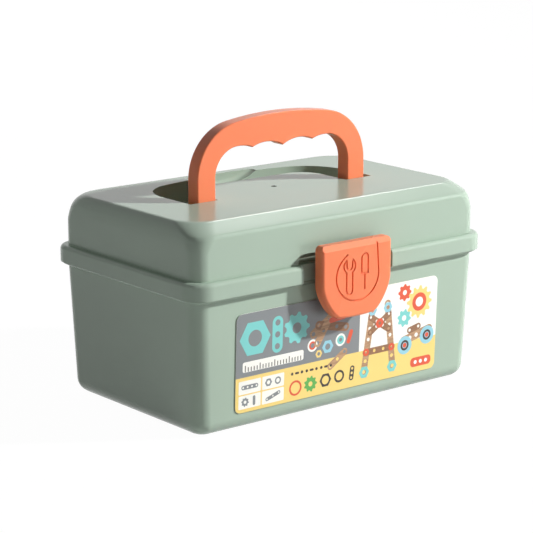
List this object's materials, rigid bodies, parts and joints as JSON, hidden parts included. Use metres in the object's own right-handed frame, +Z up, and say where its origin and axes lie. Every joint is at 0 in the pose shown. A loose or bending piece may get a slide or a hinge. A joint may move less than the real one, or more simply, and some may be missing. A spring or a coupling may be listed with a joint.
{
  "type": "toy tool box",
  "caption": "Child's plastic carry box: tapered tub, bevelled lid on rear hinges, folding handle that lies in a recess of the lid, and a snap latch over the front rim.",
  "frame": {"origin": "centre of the tub's underside", "axes": "+X along the box's long side, to the right seen from the front; -Y out of the front, where the latch is; +Z up"},
  "size_m": [0.22, 0.1562, 0.1666],
  "materials": {
    "box_plastic": "sage green moulded plastic, half gloss",
    "handle_plastic": "coral orange moulded plastic, half gloss",
    "label_print": null,
    "pin_steel": "plain steel pins"
  },
  "bodies": {
    "base": {"tub": "box_plastic", "front_label": "label_print", "hinge_pin_left": "pin_steel", "hinge_pin_right": "pin_steel"},
    "cover": {"lid": "box_plastic", "handle_pin_left": "pin_steel", "handle_pin_right": "pin_steel", "latch_pin": "pin_steel"},
    "handle": {"carry_handle": "handle_plastic"},
    "latch": {"front_latch": "handle_plastic"}
  },
  "joints": [
    {"name": "lid_hinge", "type": "hinge", "parent": "base", "child": "cover", "pos_m": [0, 0.0745, 0.07995], "axis": [-1, 0, 0], "range_deg": [0, 100]},
    {"name": "handle_fold", "type": "hinge", "parent": "cover", "child": "handle", "pos_m": [0, -0.0061, 0.1134], "axis": [-1, 0, 0], "range_deg": [0, 90]},
    {"name": "latch_swing", "type": "hinge", "parent": "cover", "child": "latch", "pos_m": [0, -0.0722, 0.0954], "axis": [-1, 0, 0], "range_deg": [0, 90]}
  ]
}
